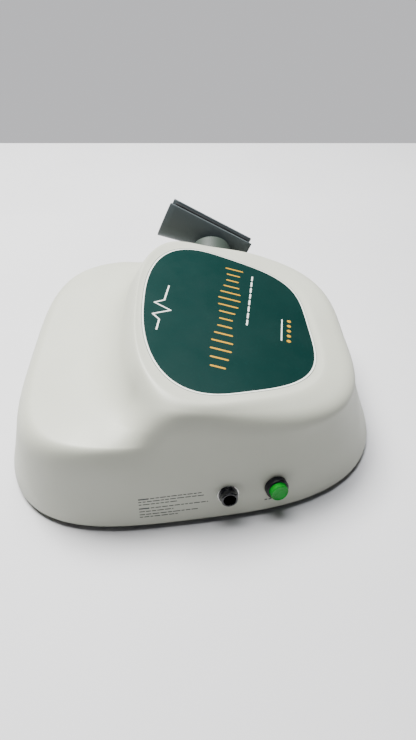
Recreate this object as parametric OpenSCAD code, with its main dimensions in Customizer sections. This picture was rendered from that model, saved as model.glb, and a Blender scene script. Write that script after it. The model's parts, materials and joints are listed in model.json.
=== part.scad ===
// Desktop physiotherapy console: a moulded housing with a raised head, a lit push button,
// a round probe socket and a swivelling open cradle that holds the probe.
// Millimetres, +Z up, front towards -Y, controls on the -X side, probe holder on the +X side.

/* [Housing] */
// Half width of the housing at its bottom edge
base_half_w = 153; // [151:0.5:155]
// Half depth of the housing at its bottom edge
base_half_d = 173.5; // [172:0.5:175]
// Height of the housing's bottom edge above the table
base_z = 5; // [4.5:0.1:5.5]
// Wall thickness of the housing
wall_t = 3; // [2.5:0.1:3.5]
// Height of the head at the middle of the label
label_mid_z = 107; // [105:0.5:109]
// Tilt of the label, down to the front
label_tilt = 12; // [11.5:0.1:12.5]
// Height of the rear shelf at the foot of the head
shelf_z = 83; // [81:0.5:85]
// Thickness of the printed label
label_t = 0.4; // [0.3:0.05:0.5]

/* [Controls] */
// Height of the button and the socket on the side wall
control_z = 28; // [27:0.5:29]
// Place of the button along the side wall
button_y = -68; // [-70:0.5:-66]
// Place of the socket along the side wall
socket_y = -27.5; // [-30:0.5:-26]
// Radius of the black bezel round the button
bezel_r = 9.8; // [9.6:0.05:10.2]
// How far the bezel stands off the wall
bezel_h = 5.5; // [5.3:0.1:6]
// Radius of the lit cap
cap_r = 7.7; // [7.5:0.05:7.75]
// How far the cap stands out of the bezel
cap_out = 4.3; // [4:0.1:4.6]
// Travel of the button
press = 3; // [2:0.1:3]
// Radius of the probe socket's flange
socket_r = 8.3; // [8:0.05:8.6]
// How far the probe socket stands off the wall
socket_h = 7.5; // [7:0.1:8]

/* [Probe holder] */
// Length of the cradle
cradle_l = 104; // [100:1:106]
// Depth of the cradle at its rear end
cradle_deep = 44; // [43:0.5:45]
// Depth of the cradle at its front end
cradle_shallow = 22.5; // [22:0.5:24]
// Half width of the cradle's mouth at its rear end
mouth_rear = 20; // [19.5:0.1:20.5]
// Half width of the cradle's mouth at its front end
mouth_front = 18; // [17.5:0.1:18.5]
// Wall thickness of the cradle
cradle_t = 3; // [2.6:0.1:3.2]
// Radius of the hub on the housing's wall
hub_r = 23.5; // [23:0.1:24]
// Length of the hub from the wall
hub_l = 21.5; // [20.5:0.5:21.5]

/* [Hidden] */
$fn = 64;

// Middle of the footprint box, measured from the housing's own middle plane
box_mid = [26.97, -1];

// Outlines as [half width, taper, middle y, half depth, front exponent, rear exponent]
foot_ring = [base_half_w, 0.112, -1, base_half_d, 3.1, 3.25];
edge_ring = [base_half_w - 13.5, 0.10, -1, base_half_d - 22, 3.05, 3.9];
shoulder_ring = [base_half_w - 20, 0.12, -14, base_half_d - 36.5, 3.4, 3.2];
flank_ring = [base_half_w - 32, 0.16, -34, 106, 3.6, 2.8];
crest_ring = [base_half_w - 35, 0.235, -36.5, 86.5, 3.8, 2.8];
label_ring = [107.8, 0.248, -35.4, 78.5, 4.0, 2.34];
// Height of the turn from the wall to the top
edge_z = 65;
// Flat border outside the label
label_border = 2.5;

label_mid_y = label_ring[2];
plate_t = 2;
plate_z = base_z - plate_t;
// Lean of the control wall, and how far it has turned towards the front at each control
wall_lean = 12.7;
button_turn = 13;
socket_turn = 7;
hub_lean = 14;
eps = 0.01;

// ---- curves -------------------------------------------------------------

function signed_pow(v, e) = sign(v) * pow(abs(v), e);

// A point of a tapered superellipse at angle a, set in by t
function ring_at(r, a, t = 0) =
    let (e = 2 / (sin(a) < 0 ? r[4] : r[5]), v = signed_pow(sin(a), e))
    [(r[0] - t) * (1 + r[1] * v) * signed_pow(cos(a), e), r[2] + (r[3] - t) * v];

// Bearing of a point from the middle of the label
function bearing(p) = atan2(p[1] - label_mid_y, p[0]);

// Angle at which a ring crosses bearing b, found by halving the interval from lo to hi
function angle_for(r, b, t, lo, hi, left = 26) =
    let (m = (lo + hi) / 2)
    left == 0 ? m :
    let (d = bearing(ring_at(r, m, t)) - b, past = d - 360 * round(d / 360) > 0)
    angle_for(r, b, t, past ? lo : m, past ? m : hi, left - 1);

function ring_along(r, b, t) = ring_at(r, angle_for(r, b, t, b - 52, b + 52), t);

function lift(p, z) = [p[0], p[1], z];

// Height of the label's plane over a point
function plane_z(p) = label_mid_z + (p[1] - label_mid_y) * tan(label_tilt);

function ease(lo, hi, v) =
    let (u = min(1, max(0, (v - lo) / (hi - lo)))) u * u * (3 - 2 * u);

// A corner b between a and c, rounded by a quadratic curve that leaves out its first points
function rounded(a, b, c, cut_in, cut_out, steps, first = 0) =
    let (s = b + (a - b) * cut_in, e = b + (c - b) * cut_out)
    [for (i = [first : steps]) let (u = i / steps)
        s * (1 - u) * (1 - u) + b * 2 * u * (1 - u) + e * u * u];

// Running length of the foot ring against its angle
foot_run = [for (i = 0, run = 0; i <= 720; i = i + 1,
    run = run + norm(ring_at(foot_ring, i / 2) - ring_at(foot_ring, (i - 1) / 2))) [run, i / 2]];

// The housing's profile from the bottom edge at angle a to near the top's middle.
// t is how far the surface lies inside the outer one. The head falls to a shelf at the rear,
// and its shoulder is high on the holder's side.
function meridian(a, t) =
    let (
        foot = lift(ring_at(foot_ring, a, t), base_z - sign(t)),
        b = bearing(foot),
        rear = ease(0.31, 0.64, sin(b)),
        e = ring_along(edge_ring, b, t),
        edge = lift(e, edge_z + 2 * sin(b) + rear * (12 + 5 * pow(abs(e[0]) / 140, 3)) - t),
        high = ease(0, 1, cos(b)) * (1 - ease(-0.3, 0.4, sin(b))),
        s = ring_along(shoulder_ring, b, t) * (1 + 0.035 * high),
        shoulder = lift(s, plane_z(s) - 3 - 6 * pow(cos(b), 2) + 11 * high - t),
        f = ring_along(flank_ring, b, t),
        flank = lift(f, shelf_z + 8 * pow(f[0] / 120, 2) - t),
        bend = shoulder * (1 - rear) + flank * rear,
        c = ring_along(crest_ring, b, t),
        crest = lift(c, plane_z(c) + 1 - t),
        r = ring_along(label_ring, b, t - label_border),
        rim = lift(r, plane_z(r) - t),
        inner = rim * 0.35 + top_mid(t) * 0.65
    )
    concat([foot],
        rounded(foot, edge, bend, 0.55 - 0.25 * rear, 0.5 - 0.35 * rear, 4),
        rounded(edge, bend, crest, 0.5 - 0.1 * rear, 0.5 - 0.05 * rear, 4, 1),
        rounded(bend, crest, rim, 0.46, 0.42, 4),
        rounded(crest, rim, inner, 0.4, 0.03, 2),
        [inner]);

function top_mid(t) = [0, label_mid_y, label_mid_z - t];

// A point along a curved route through hand-set points
function spline_at(p, i, u) =
    let (a = p[max(i - 1, 0)], b = p[i], c = p[i + 1], d = p[min(i + 2, len(p) - 1)])
    0.5 * (2 * b + (c - a) * u + (2 * a - 5 * b + 4 * c - d) * u * u
        + (3 * b - 3 * c + d - a) * u * u * u);

function route(p, steps) =
    concat([for (i = [0 : len(p) - 2]) for (k = [0 : steps - 1]) spline_at(p, i, k / steps)],
        [p[len(p) - 1]]);

function unit(v) = v / norm(v);

// ---- shared shapes ------------------------------------------------------

module in_frame() translate([-box_mid[0], -box_mid[1], 0]) children();

// Side faces of a loft of columns, each column a list of points from bottom to top
function side_faces(cols, rows) =
    [for (c = [0 : cols - 1]) for (r = [0 : rows - 2])
        let (a = c * rows + r, b = ((c + 1) % cols) * rows + r)
        each [[a, a + 1, b + 1], [a, b + 1, b]]];

module housing_skin(t, cols) {
    whole = foot_run[len(foot_run) - 1][0];
    columns = [for (c = [0 : cols - 1]) meridian(lookup(c * whole / cols, foot_run), t)];
    rows = len(columns[0]);
    apex = cols * rows;
    points = concat([for (column = columns) each column], [top_mid(t)]);
    bottom = [[for (c = [0 : cols - 1]) c * rows]];
    fan = [for (c = [0 : cols - 1])
        [c * rows + rows - 1, apex, ((c + 1) % cols) * rows + rows - 1]];
    polyhedron(points, concat(side_faces(cols, rows), fan, bottom));
}

// A round tube along a route, as one closed solid
module tube(points, r, sides) {
    last = len(points) - 1;
    rings = [for (i = [0 : last])
        let (d = unit(points[min(i + 1, last)] - points[max(i - 1, 0)]),
            u = unit(cross(d, [0.31, 0.17, 1])), v = cross(d, u))
        each [for (k = [0 : sides - 1])
            points[i] + r * (u * cos(360 * k / sides) + v * sin(360 * k / sides))]];
    skin = [for (i = [0 : last - 1]) for (k = [0 : sides - 1])
        let (a = i * sides + k, b = i * sides + (k + 1) % sides)
        each [[a, b + sides, b], [a, a + sides, b + sides]]];
    caps = [[for (k = [0 : sides - 1]) k], [for (k = [sides - 1 : -1 : 0]) last * sides + k]];
    polyhedron(rings, concat(skin, caps));
}

// Local +Z points out of the control wall, from a point on its outer face
module on_control_wall(y, x, turn)
    translate([x, y, control_z]) rotate([0, wall_lean - 90, turn]) children();

module at_button() on_control_wall(button_y, -138.4, button_turn) children();
module at_socket() on_control_wall(socket_y, -145.1, socket_turn) children();

// Local +Z is the cradle's swivel axis, pointing away from the housing's far wall
hub_base = [133.5, -26, 82.2];
module at_hub() translate(hub_base) rotate([0, 90 - hub_lean, 0]) children();

// Local Y runs to the cradle's rear end, local Z out of its mouth
cradle_mid = [181, -29.6, 112];
module at_cradle()
    translate(cradle_mid) rotate([0, 0, -13.7]) rotate([24, 0, 0]) rotate([0, 18.5, 0]) children();

module ring_sheet(r, t, h, cols)
    linear_extrude(height = h) polygon([for (c = [0 : cols - 1]) ring_at(r, 360 * c / cols, t)]);

module tapped_disc(r, h, bore) {
    difference() {
        cylinder(r = r, h = h);
        translate([0, 0, -1]) cylinder(r = bore, h = h + 2);
    }
}

// ---- housing ------------------------------------------------------------

boss_spots = [[-108, 92], [108, 92], [-100, -96], [100, -96]];
boss_r = 5;
// The mains inlet sits in a pocket with an upright floor
inlet_x = 60;
inlet_z = 31;
pocket_y = 151;
pocket_w = 54;
pocket_h = 36;

module at_inlet() translate([inlet_x, pocket_y, inlet_z]) children();

module label_outline(inset)
    translate([0, label_mid_y, label_mid_z]) rotate([label_tilt, 0, 0])
        linear_extrude(height = 4)
            polygon([for (c = [0 : 71]) let (p = ring_at(label_ring, 5 * c, inset))
                [p[0], (p[1] - label_mid_y) / cos(label_tilt)]]);

module inlet_pocket() at_inlet() {
    translate([-pocket_w / 2, 0, -pocket_h / 2]) cube([pocket_w, 60, pocket_h]);
    translate([-22.2, -10, -10.7]) cube([44.4, 20, 21.4]);
    for (x = [-24.6, 24.6])
        translate([x, 5, 0]) rotate([90, 0, 0]) cylinder(r = 1.25, h = 14);
}

module upper_housing() color([0.85, 0.85, 0.81]) in_frame() difference() {
    housing_skin(0, 84);
    difference() {
        housing_skin(wall_t, 60);
        for (p = boss_spots) translate([p[0], p[1], base_z]) cylinder(r = boss_r, h = 130);
        at_inlet() translate([-31, -wall_t, -22]) cube([62, 50, 44]);
    }
    for (p = boss_spots) translate([p[0], p[1], base_z - 1]) cylinder(r = 1.7, h = 22);
    inlet_pocket();
    translate([0, 0, -0.5]) label_outline(-0.3);
    at_button() translate([0, 0, -20]) cylinder(r = 8.1, h = 30);
    at_button() translate([0, 0, -0.5]) cylinder(r = bezel_r + 0.4, h = 10);
    at_socket() translate([0, 0, -20]) cylinder(r = 7.1, h = 30);
    at_socket() translate([0, 0, -0.5]) cylinder(r = socket_r + 0.6, h = 10);
    at_hub() translate([0, 0, -20]) cylinder(r = 4.2, h = 40);
}

module overlay_label() color([0.12, 0.3, 0.29]) in_frame() difference() {
    translate([0, 0, -0.5 + eps]) label_outline(0);
    translate([0, 0, -0.5 + label_t + eps]) label_outline(-3);
}

plate_inset = 2.2;
foot_spots = [[-105, 118], [105, 118], [-98, -122], [98, -122]];
strap_spots = [[-91, 88], [-9, 88]];
board_spots = [[-35, -88], [65, -88], [-35, -12], [65, -12]];

module base_plate() color([0.06, 0.06, 0.065]) in_frame() difference() {
    translate([0, 0, plate_z]) ring_sheet(foot_ring, plate_inset, plate_t, 72);
    for (p = boss_spots) translate([p[0], p[1], 0]) cylinder(r = 2.3, h = 10);
    for (p = foot_spots) translate([p[0], p[1], 0]) cylinder(r = 3.5, h = 10);
    for (p = strap_spots) translate([p[0], p[1], 0]) cylinder(r = 2.05, h = 10);
    for (p = board_spots) translate([p[0], p[1], 0]) cylinder(r = 2, h = 10);
    for (x = [-60 : 8 : 60]) translate([x - 1.5, 20, 0]) cube([3, 30, 10]);
    for (x = [-60 : 8 : 60]) translate([x - 1.5, -150, 0]) cube([3, 30, 10]);
}

module base_screws() color("silver") in_frame()
    for (p = boss_spots) translate([p[0], p[1], 0]) {
        translate([0, 0, plate_z - 1.6]) cylinder(r = 3.4, h = 1.6);
        translate([0, 0, plate_z - eps]) cylinder(r = 1.65, h = 16);
    }

module foot(spot) color([0.1, 0.1, 0.1]) in_frame() translate([spot[0], spot[1], 0])
    rotate_extrude() polygon([[0, 0], [8, 0], [9, 1], [9, plate_z], [3.45, plate_z],
        [3.45, base_z], [0, base_z]]);

module foot_rear_left() foot(foot_spots[0]);
module foot_rear_right() foot(foot_spots[1]);
module foot_front_left() foot(foot_spots[2]);
module foot_front_right() foot(foot_spots[3]);

// ---- push button --------------------------------------------------------

seat = -0.5;
stem_r = 3;

module button_bezel() color([0.05, 0.05, 0.05]) in_frame() at_button()
    rotate_extrude() polygon([[cap_r + 0.3, 0], [cap_r + 0.3, bezel_h], [bezel_r - 0.8, bezel_h],
        [bezel_r, bezel_h - 0.8], [bezel_r, seat], [8, seat], [8, -16], [stem_r + 0.06, -16],
        [stem_r + 0.06, -14], [6.2, -14], [6.2, 0]]);

module button_cap() color([0.06, 0.6, 0.2]) in_frame() at_button() difference() {
    rotate_extrude() polygon([[0, bezel_h + cap_out - 0.5], [cap_r - 1.6, bezel_h + cap_out - 0.5],
        [cap_r - 1.1, bezel_h + cap_out], [cap_r - 0.6, bezel_h + cap_out],
        [cap_r, bezel_h + cap_out - 0.6], [cap_r, 3.4], [0, 3.4]]);
    cylinder(r = 4.5, h = 6);
}

module button_plunger() color([0.9, 0.9, 0.86]) in_frame() at_button() {
    translate([0, 0, 3.4]) cylinder(r = 4.45, h = 2.55);
    translate([0, 0, -21]) cylinder(r = stem_r, h = 24.5);
}

spring_turns = 5;
spring_steps = 14;
spring_path = [for (i = [0 : spring_turns * spring_steps])
    let (a = 360 * i / spring_steps)
    [4.7 * cos(a), 4.7 * sin(a), -13.5 + 16.3 * i / (spring_turns * spring_steps)]];

module button_spring() color("gray") in_frame() at_button() tube(spring_path, 0.45, 6);

module button_nut() color([0.1, 0.1, 0.1]) in_frame() at_button() translate([0, 0, -9.5]) difference() {
    cylinder(r = 11, h = 4, $fn = 6);
    translate([0, 0, -1]) cylinder(r = 8.02, h = 6);
}

module switch_block() color([0.75, 0.72, 0.62]) in_frame() at_button() translate([0, 0, -34]) {
    difference() {
        translate([-8, -8, 0]) cube([16, 16, 18]);
        translate([0, 0, 8]) cylinder(r = stem_r + 0.4, h = 20);
    }
}

module switch_terminals() color("goldenrod") in_frame() at_button()
    for (x = [-5, 5], y = [-4, 4]) translate([x - 0.4, y - 1.4, -42]) cube([0.8, 2.8, 8]);

// ---- probe socket -------------------------------------------------------

socket_bore = 5.4;

module socket_shell() color([0.05, 0.05, 0.05]) in_frame() at_socket()
    rotate_extrude() polygon([[5, -12], [5, -6], [socket_bore, -6], [socket_bore, socket_h], [6.4, socket_h],
        [7, socket_h - 0.6], [7, 1.6], [socket_r, 1.6], [socket_r, 0.3], [7.0, 0.3], [7, -12]]);

module socket_insert() color([0.14, 0.14, 0.14]) in_frame() at_socket() translate([0, 0, -12])
    difference() {
        cylinder(r = 4.98, h = 6);
        for (k = [0 : 5]) rotate([0, 0, 60 * k]) translate([3.2, 0, -1]) cylinder(r = 0.52, h = 8);
    }

module socket_pins() color("gold") in_frame() at_socket()
    for (k = [0 : 5]) rotate([0, 0, 60 * k]) translate([3.2, 0, -16]) cylinder(r = 0.5, h = 9.8);

module socket_ring() color("silver") in_frame() at_socket()
    translate([0, 0, seat]) tapped_disc(socket_r + 0.3, 0.8, 7.02);

module socket_nut() color("silver") in_frame() at_socket() translate([0, 0, -6.6]) difference() {
    cylinder(r = 10, h = 2.6, $fn = 6);
    translate([0, 0, -1]) cylinder(r = 7.02, h = 5);
}

// ---- probe holder -------------------------------------------------------

bolt_r = 4;
disc_gap = 0.4;

module holder_hub() color([0.85, 0.85, 0.81]) in_frame() difference() {
    at_hub() rotate_extrude() polygon([[bolt_r + 0.2, -14], [9, -14], [9, hub_l - 3.5],
        [hub_r - 3, hub_l - 3.5], [hub_r - 3, -14], [hub_r, -14], [hub_r, hub_l - 2],
        [hub_r - 0.6, hub_l - 0.6], [hub_r - 2, hub_l], [bolt_r + 0.2, hub_l]]);
    housing_skin(0, 84);
}

module friction_washer() color([0.9, 0.88, 0.8]) in_frame() at_hub()
    translate([0, 0, hub_l + 0.02]) tapped_disc(16, disc_gap - 0.04, bolt_r + 0.3);

swivel_z = hub_l + disc_gap;
head_z = swivel_z + 5.6;

module pivot_bolt() color("silver") in_frame() at_hub() {
    translate([0, 0, -19]) cylinder(r = bolt_r, h = head_z + 19 + 0.5);
    translate([0, 0, head_z + 0.3]) difference() {
        cylinder(r = 6.6, h = 3);
        translate([0, 0, 1.4]) cylinder(r = 2.6, h = 4, $fn = 6);
    }
}

module pivot_nut() color("silver") in_frame() at_hub() translate([0, 0, -16.5]) {
    difference() {
        cylinder(r = 7.5, h = 5, $fn = 6);
        translate([0, 0, -1]) cylinder(r = bolt_r + 0.02, h = 8);
    }
}

section_exp = 2.4;
cradle_steps = 12;
section_steps = 16;

// Half of a superellipse, from one side of the mouth under the bottom to the other side
function half_section(w, d, drop, back) =
    [for (k = [0 : section_steps])
        let (a = back ? 360 - 180 * k / section_steps : 180 + 180 * k / section_steps)
        [w * signed_pow(cos(a), 2 / section_exp),
            min(-drop, d * signed_pow(sin(a), 2 / section_exp))]];

// A channel along Y whose section shrinks from rear to front, walls t thick, set in by inset
module channel(len_y, inset, t, drop) {
    loop_n = 2 * (section_steps + 1);
    points = [for (i = [0 : cradle_steps])
        let (u = i / cradle_steps, y = len_y * (0.5 - u), s = 0.5 - y / cradle_l,
            w = mouth_rear + (mouth_front - mouth_rear) * s - inset,
            d = cradle_deep + (cradle_shallow - cradle_deep) * s - inset)
        each [for (p = concat(half_section(w, d, drop, false), half_section(w - t, d - t, drop, true)))
            [p[0], y, p[1]]]];
    skin = [for (i = [0 : cradle_steps - 1]) for (k = [0 : loop_n - 1])
        let (a = i * loop_n + k, b = i * loop_n + (k + 1) % loop_n)
        each [[a, b + loop_n, b], [a, a + loop_n, b + loop_n]]];
    caps = [for (k = [0 : section_steps - 1])
        let (a = k, b = loop_n - 1 - k, e = cradle_steps * loop_n)
        each [[a, a + 1, b - 1], [a, b - 1, b], [e + b, e + b - 1, e + a + 1], [e + b, e + a + 1, e + a]]];
    polyhedron(points, concat(skin, caps));
}

// The space inside a channel, as one closed solid that also runs out of its ends
module channel_core(len_y, inset) {
    n = section_steps + 1;
    points = [for (i = [0 : cradle_steps])
        let (u = i / cradle_steps, y = len_y * (0.5 - u), s = 0.5 - y / cradle_l,
            w = mouth_rear + (mouth_front - mouth_rear) * s - inset,
            d = cradle_deep + (cradle_shallow - cradle_deep) * s - inset)
        each [for (p = half_section(w, d, 0, false)) [p[0], y, p[1]]]];
    skin = [for (i = [0 : cradle_steps - 1]) for (k = [0 : n - 1])
        let (a = i * n + k, b = i * n + (k + 1) % n)
        each [[a, b + n, b], [a, a + n, b + n]]];
    caps = [[for (k = [0 : n - 1]) k], [for (k = [n - 1 : -1 : 0]) cradle_steps * n + k]];
    polyhedron(points, concat(skin, caps));
}

module bolt_way() at_hub() {
    translate([0, 0, swivel_z - 1]) cylinder(r = bolt_r + 0.06, h = 30);
    translate([0, 0, head_z]) cylinder(r = 7.2, h = 30);
}

module probe_cradle() color([0.32, 0.35, 0.36]) in_frame() difference() {
    union() {
        at_cradle() channel(cradle_l, 0, cradle_t, 0);
        difference() {
            at_hub() translate([0, 0, swivel_z]) cylinder(r1 = 19, r2 = 12, h = 13);
            at_cradle() channel_core(cradle_l + 20, cradle_t - 0.5);
        }
    }
    bolt_way();
}

liner_gap = 0.15;

module cradle_liner() color([0.1, 0.11, 0.12]) in_frame() difference() {
    at_cradle() channel(cradle_l - 8, cradle_t + liner_gap, 1.8, 3);
    bolt_way();
}

// ---- mains inlet --------------------------------------------------------

module inlet_body() color([0.07, 0.07, 0.07]) in_frame() at_inlet() difference() {
    union() {
        translate([-26.5, eps, -12.5]) cube([53, 2.4, 25]);
        translate([-22, -24, -10.5]) cube([44, 24 + 2 * eps, 21]);
    }
    translate([-20.5, -17, -8.5]) cube([25, 30, 17]);
    translate([8, -23, -8.5]) cube([12.5, 40, 17]);
    pin_bars(-30, 16);
    for (x = [-24.6, 24.6]) translate([x, 5, 0]) rotate([90, 0, 0]) cylinder(r = 1.3, h = 8);
}

module pin_bars(y, l)
    for (p = [[-15, 1.8], [-1, 1.8], [-8, -3.6]])
        translate([p[0] - 1, y, p[1] - 2]) cube([2, l, 4]);

module inlet_pins() color("silver") in_frame() at_inlet() pin_bars(-32, 26);

module inlet_screws() color("silver") in_frame() at_inlet()
    for (x = [-24.6, 24.6]) translate([x, 0, 0]) rotate([-90, 0, 0]) {
        translate([0, 0, 2.4 + 2 * eps]) cylinder(r = 2.3, h = 1.3);
        translate([0, 0, -6]) cylinder(r = 1.2, h = 8.5);
    }

drawer_gap = 0.35;

module fuse_drawer() color([0.09, 0.09, 0.09]) in_frame() at_inlet() difference() {
    union() {
        translate([8 + drawer_gap, -20, -8.5 + drawer_gap])
            cube([12.5 - 2 * drawer_gap, 22.7, 17 - 2 * drawer_gap]);
        translate([7.2, 2.72, -9.3]) cube([14.1, 1.6, 18.6]);
        translate([12, 4.3, -9.3]) cube([4.5, 1.4, 3]);
    }
    translate([10, -19, -5]) cube([8.5, 20.4, 20]);
}

module fuse() color([0.8, 0.85, 0.85, 0.5]) in_frame() at_inlet()
    translate([14.25, -18.9, -2.35]) rotate([-90, 0, 0]) cylinder(r = 2.6, h = 20);

// ---- power supply and electronics ---------------------------------------

core_mid = [-50, 88, 35];
module at_core() translate(core_mid) children();

module transformer_core() color([0.35, 0.35, 0.37]) in_frame() at_core() difference() {
    translate([-33, -17, -28]) cube([66, 34, 56]);
    for (x = [-22, 11]) translate([x, -20, -17]) cube([11, 40, 34]);
}

module transformer_coil() color([0.55, 0.32, 0.12]) in_frame() at_core() difference() {
    translate([-21.8, -27, -16.8]) cube([43.6, 54, 33.6]);
    translate([-11.1, -17.1, -20]) cube([22.2, 34.2, 40]);
}

module transformer_strap() color("silver") in_frame() at_core() difference() {
    union() {
        translate([-34.3, -8, -29.9]) cube([68.6, 16, 59.4]);
        translate([-46, -8, -29.9]) cube([92, 16, 1.6]);
    }
    translate([-33.1, -10, -29.9 - 1]) cube([66.2, 20, 59.2]);
    for (x = [-41, 41]) translate([x, 0, -40]) cylinder(r = 2.1, h = 20);
}

module transformer_screws() color("silver") in_frame()
    for (p = strap_spots) translate([p[0], p[1], 0]) {
        translate([0, 0, core_mid[2] - 28.3 + eps]) cylinder(r = 3.6, h = 2);
        translate([0, 0, plate_z]) cylinder(r = 2, h = 4);
    }

board_z = 15;

module circuit_board() color([0.05, 0.35, 0.2]) in_frame() difference() {
    translate([-40, -93, board_z]) cube([110, 86, 1.6]);
    for (p = board_spots) translate([p[0], p[1], 0]) cylinder(r = 1.6, h = 30);
}

module board_standoffs() color("goldenrod") in_frame()
    for (p = board_spots) translate([p[0], p[1], 0]) difference() {
        union() {
            translate([0, 0, base_z + eps]) cylinder(r = 3.2, h = board_z - base_z - 2 * eps);
            translate([0, 0, plate_z]) cylinder(r = 1.95, h = 4);
        }
        translate([0, 0, base_z + 2]) cylinder(r = 1.5, h = 20);
    }

module board_screws() color("silver") in_frame()
    for (p = board_spots) translate([p[0], p[1], 0]) {
        translate([0, 0, board_z + 1.6 + eps]) cylinder(r = 2.8, h = 1.9);
        translate([0, 0, board_z - 5]) cylinder(r = 1.45, h = 7);
    }

board_top = board_z + 1.6 + eps;

module heat_sink() color("dimgray") in_frame() translate([-38, -70, board_top]) difference() {
    cube([14, 44, 26]);
    for (k = [0 : 5]) translate([-1, 3.4 + 7 * k, 3]) cube([11.5, 4, 30]);
}

module power_transistors() color([0.08, 0.08, 0.08]) in_frame()
    for (y = [-63, -41]) translate([-24 + eps, y, board_top]) {
        translate([0, 0, 4]) cube([4.5, 10, 15]);
        for (k = [0 : 2]) translate([1.6, 1.6 + 2.6 * k, 0]) cube([0.8, 0.9, 4.2]);
    }

module capacitors() color([0.12, 0.16, 0.35]) in_frame()
    for (p = [[-5, -40, 9, 28], [18, -40, 9, 28], [-4, -68, 6.3, 18], [14, -68, 6.3, 18]])
        translate([p[0], p[1], board_top]) cylinder(r = p[2], h = p[3]);

module board_headers() color([0.92, 0.9, 0.82]) in_frame()
    for (p = [[40, -90, 20], [8, -90, 16], [30, -14, 22]])
        translate([p[0], p[1], board_top]) difference() {
            cube([p[2], 6, 9]);
            translate([1, 1, 2]) cube([p[2] - 2, 4, 10]);
        }

module buzzer() color([0.08, 0.08, 0.08]) in_frame() translate([52, -50, board_top])
    tapped_disc(8, 9, 1.2);

// ---- leads held inside --------------------------------------------------

lead_r = 1.3;
inlet_leads_path = [[51.9, 118.9, 33.5], [50, 114, 33], [36, 112, 27], [6, 122, 24], [-24, 124, 30],
    [-38, 120, 34], [-40, 115.2, 35]];
supply_leads_path = [[-50, 60.5, 30], [-50, 50, 26], [-40, 30, 16], [10, 10, 14], [36, -2, 22],
    [41, -11, 31]];
switch_leads_path = [[-98, -63, 26], [-90, -64, 27], [-72, -76, 22], [-40, -100, 18], [0, -101, 24],
    [16, -87, 30]];
socket_leads_path = [[-125.5, -26, 23.5], [-114, -30, 18], [-80, -50, 12], [-46, -104, 14],
    [20, -112, 20], [50, -87, 30]];

module inlet_leads() color([0.4, 0.25, 0.1]) in_frame() tube(route(inlet_leads_path, 4), lead_r, 8);
module supply_leads() color([0.7, 0.1, 0.1]) in_frame() tube(route(supply_leads_path, 4), lead_r, 8);
module switch_leads() color([0.1, 0.2, 0.5]) in_frame() tube(route(switch_leads_path, 4), lead_r, 8);
module socket_leads() color([0.2, 0.2, 0.2]) in_frame() tube(route(socket_leads_path, 4), 2, 8);

upper_housing();
overlay_label();
base_plate();
base_screws();
foot_front_left();
foot_front_right();
foot_rear_left();
foot_rear_right();
button_bezel();
button_cap();
button_plunger();
button_spring();
button_nut();
switch_block();
switch_terminals();
socket_shell();
socket_insert();
socket_pins();
socket_ring();
socket_nut();
holder_hub();
pivot_bolt();
pivot_nut();
friction_washer();
probe_cradle();
cradle_liner();
inlet_body();
inlet_pins();
inlet_screws();
fuse_drawer();
fuse();
transformer_core();
transformer_coil();
transformer_strap();
transformer_screws();
circuit_board();
board_standoffs();
board_screws();
heat_sink();
power_transistors();
capacitors();
board_headers();
buzzer();
inlet_leads();
supply_leads();
switch_leads();
socket_leads();
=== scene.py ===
"""Looks of the physiotherapy console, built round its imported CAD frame."""

import json
import math
import random

import bmesh
import bpy
import numpy as np
from mathutils import Matrix, Vector
from mathutils.bvhtree import BVHTree


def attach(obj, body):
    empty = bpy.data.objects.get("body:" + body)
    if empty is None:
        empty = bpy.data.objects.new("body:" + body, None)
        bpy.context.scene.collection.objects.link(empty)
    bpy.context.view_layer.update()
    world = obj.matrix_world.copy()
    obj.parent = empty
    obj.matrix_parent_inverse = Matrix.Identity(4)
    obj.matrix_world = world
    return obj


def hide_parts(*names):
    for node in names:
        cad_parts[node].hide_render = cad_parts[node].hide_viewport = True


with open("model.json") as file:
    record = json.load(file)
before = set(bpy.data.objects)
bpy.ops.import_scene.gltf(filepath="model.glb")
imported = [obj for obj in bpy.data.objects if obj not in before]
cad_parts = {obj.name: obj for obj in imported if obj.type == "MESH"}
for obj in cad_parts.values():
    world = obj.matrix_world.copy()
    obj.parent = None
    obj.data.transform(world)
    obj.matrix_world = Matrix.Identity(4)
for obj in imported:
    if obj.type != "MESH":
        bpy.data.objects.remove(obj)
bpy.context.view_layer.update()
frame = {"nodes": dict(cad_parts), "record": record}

MM = 0.001
# The frame's origin, measured from the housing's own middle plane (mm)
BOX_MID = Vector((26.97, -1.0, 0.0))
# The camera's eye about the same plane (mm), its angles (degrees) and its lens
EYE = Vector((-407.0, 0.0, 398.0))
PITCH = 41.5
HEADING = 2.36
FOCAL_SHARE = 534 / 740
SENSOR = 36.0


def make_camera():
    data = bpy.data.cameras.new("camera")
    data.sensor_width = SENSOR
    data.lens = SENSOR * FOCAL_SHARE
    data.clip_start = 0.01
    cam = bpy.data.objects.new("camera", data)
    bpy.context.scene.collection.objects.link(cam)
    cam.location = (EYE - BOX_MID) * MM
    cam.rotation_euler = (math.radians(90 - PITCH), 0, math.radians(-90 - HEADING))
    bpy.context.scene.camera = cam


make_camera()

# ---------------------------------------------------------------- materials


def srgb(r, g, b):
    """Linear colour from 8-bit display values."""
    def one(v):
        v /= 255
        return v / 12.92 if v <= 0.04045 else ((v + 0.055) / 1.055) ** 2.4
    return (one(r), one(g), one(b), 1.0)


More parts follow.
